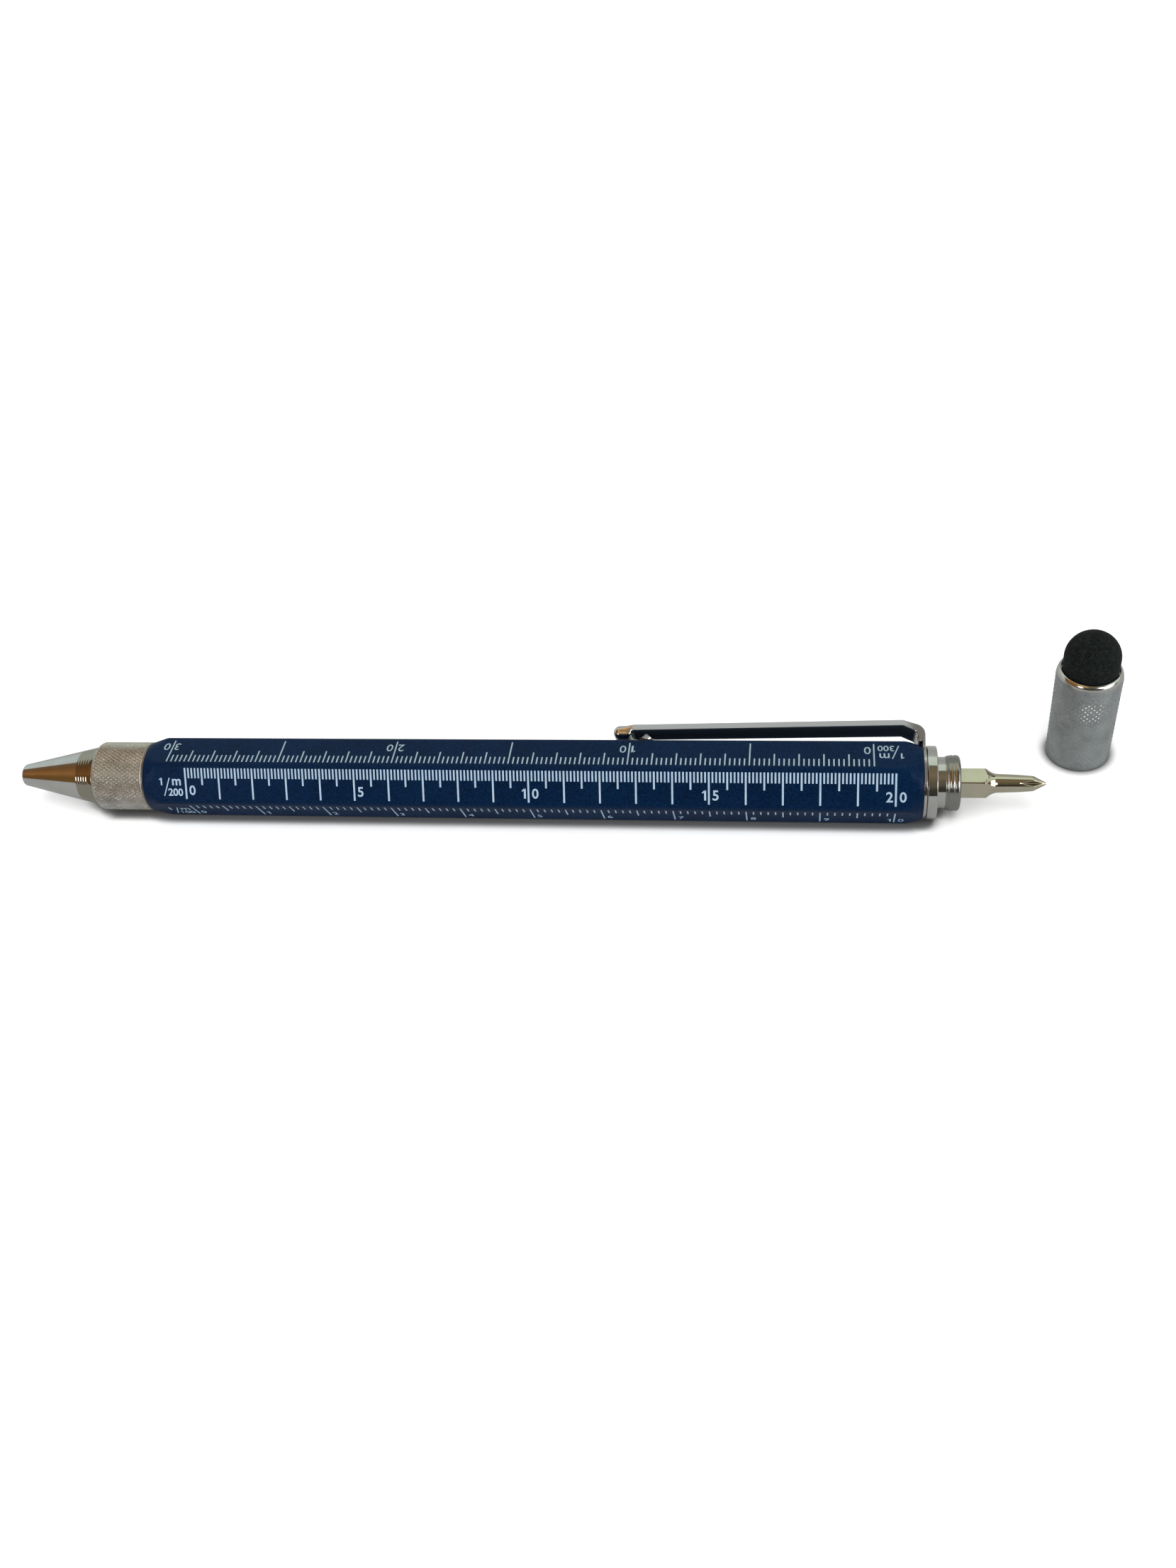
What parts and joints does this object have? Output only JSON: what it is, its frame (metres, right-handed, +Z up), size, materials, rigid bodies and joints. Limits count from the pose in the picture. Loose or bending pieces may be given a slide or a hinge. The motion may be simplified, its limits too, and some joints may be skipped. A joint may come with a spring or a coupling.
{
  "type": "multi tool pen",
  "caption": "Six-sided metal twist pen with scale rules on its flats, a pocket clip, a reversible driver bit, and a screw-on cap with a rubber stylus, shown off and standing beside it.",
  "frame": {"origin": "middle of the barrel's lower flat, on which the pen lies", "axes": "+X along the pen from the nose to the driver bit, +Z up out of the surface the pen lies on, +Y to the side of the clip and the standing cap"},
  "size_m": [0.158, 0.0227, 0.0206],
  "materials": {
    "barrel_lacquer": "aluminium bar under a satin navy lacquer with pale blue-white printed scales",
    "chrome": "polished chrome plate over brass",
    "grip_satin": "satin nickel plate with a fine diamond knurl",
    "cap_satin": "satin grey plate with a fine diamond knurl and a polished shoulder",
    "bit_nickel": "bright nickel plate with a warm cream tint",
    "brass": "turned brass",
    "steel": "plain steel",
    "acetal": "moulded white plastic",
    "rubber": "matt black conductive rubber"
  },
  "bodies": {
    "barrel": {"hex_barrel": "barrel_lacquer", "front_bushing": "chrome", "friction_ring": "rubber", "anchor_plug": "acetal", "guide_tube": "acetal", "rear_insert": "brass", "bit_collar": "chrome", "bit_magnet": "steel", "pocket_clip": "chrome"},
    "grip": {"knurled_grip": "grip_satin", "nose_cone": "chrome", "cam_tube": "brass", "retaining_ring": "steel"},
    "refill": {"cam_follower": "acetal", "follower_pin": "steel", "refill_tube": "steel", "refill_tip": "brass", "writing_ball": "steel"},
    "bit": {"driver_bit": "bit_nickel"},
    "cap": {"cap_shell": "cap_satin", "stylus_ferrule": "chrome", "stylus_dome": "rubber"}
  },
  "joints": [
    {"name": "grip_twist", "type": "hinge", "parent": "barrel", "child": "grip", "pos_m": [-0.0594, 0, 0.00507], "axis": [-1, 0, 0], "range_deg": [0, 180]},
    {"name": "refill_slide", "type": "slide", "parent": "barrel", "child": "refill", "axis": [-1, 0, 0], "range_m": [0, 0.004]},
    {"name": "bit_pull", "type": "slide", "parent": "barrel", "child": "bit", "axis": [1, 0, 0], "range_m": [0, 0.02]},
    {"name": "cap_lift", "type": "slide", "parent": "barrel", "child": "cap", "axis": [0, 0, 1], "range_m": [0, 0.03]}
  ],
  "couplings": [
    {"joint": "refill_slide", "follows": "grip_twist", "m_per_rad": 0.0012732}
  ]
}
